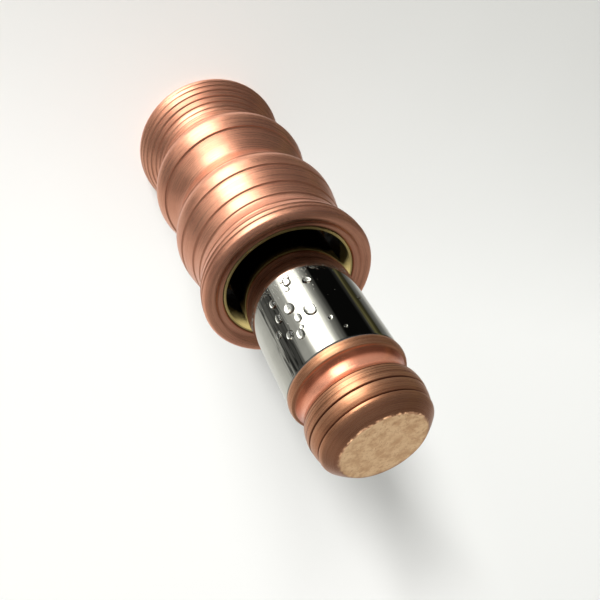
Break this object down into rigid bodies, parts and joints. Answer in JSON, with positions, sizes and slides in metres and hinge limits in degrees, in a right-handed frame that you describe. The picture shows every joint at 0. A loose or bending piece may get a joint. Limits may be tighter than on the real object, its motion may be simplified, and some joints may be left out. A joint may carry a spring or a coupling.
{
  "type": "hand-pumped pocket smoker",
  "caption": "Turned copper barrel with a sprung chromed plunger and copper end cap; pressing it pumps air through a screwed smouldering chamber in the base.",
  "frame": {"origin": "centre of the foot face that the barrel stands on", "axes": "+Z along the barrel's axis, from the foot up to the end cap; the outside is turned, so X and Y are free"},
  "size_m": [0.0414, 0.0414, 0.1122],
  "materials": {
    "barrel_copper": "satin turned copper",
    "cap_copper": "glossy turned copper",
    "liner_brass": "polished",
    "tube_chrome": "mirror",
    "machined_brass": "machined",
    "bronze": "oiled",
    "piston_aluminium": "machined",
    "steel": "satin",
    "scorched_steel": "heat-tinted",
    "seal_rubber": "matt",
    "cup_leather": "oiled",
    "wiper_felt": "felt",
    "heat_fibre": "woven fibre"
  },
  "bodies": {
    "barrel": {"barrel_shell": "barrel_copper", "liner_tube": "liner_brass", "cylinder_floor": "machined_brass", "floor_seal": "seal_rubber", "floor_nut": "machined_brass", "bump_stop": "seal_rubber", "guide_bush": "bronze", "guide_wiper": "wiper_felt", "guide_circlips": "steel", "return_spring": "steel", "valve_pin": "machined_brass", "valve_spring": "steel"},
    "spring_washer": {"thrust_washer": "steel"},
    "plunger": {"plunger_tube": "tube_chrome", "piston_head": "piston_aluminium", "piston_cup": "cup_leather", "cup_nut": "machined_brass", "top_buffer": "seal_rubber", "tube_plug": "machined_brass", "cap_insert": "machined_brass", "cap_lock_washer": "steel", "cap_screw": "steel", "cap_seal": "seal_rubber", "end_cap": "cap_copper"},
    "base_seal": {"base_gasket": "seal_rubber"},
    "base": {"base_cap": "cap_copper", "heat_sleeve": "heat_fibre", "fuel_basket": "scorched_steel", "spark_screen": "scorched_steel"},
    "valve": {"valve_disc": "steel"}
  },
  "joints": [
    {"name": "plunger_press", "type": "slide", "parent": "barrel", "child": "spring_washer", "axis": [0, 0, -1], "range_m": [0, 0.02], "stiffness_N_per_m": 200, "springref_m": -0.04, "deforming": ["return_spring"]},
    {"name": "plunger_turn", "type": "hinge", "parent": "spring_washer", "child": "plunger", "pos_m": [0, 0, 0.072], "axis": [0, 0, 1], "continuous": true},
    {"name": "base_lift", "type": "slide", "parent": "barrel", "child": "base_seal", "axis": [0, 0, -1], "range_m": [0, 0.0041]},
    {"name": "base_unscrew", "type": "hinge", "parent": "base_seal", "child": "base", "pos_m": [0, 0, 0.003], "axis": [0, 0, -1], "range_deg": [0, 1440]},
    {"name": "valve_open", "type": "slide", "parent": "barrel", "child": "valve", "axis": [0, 0, -1], "range_m": [0, 0.001], "stiffness_N_per_m": 60, "springref_m": -0.001, "deforming": ["valve_spring"]}
  ],
  "couplings": [
    {"joint": "base_lift", "follows": "base_unscrew", "m_per_rad": 0.00015915}
  ]
}
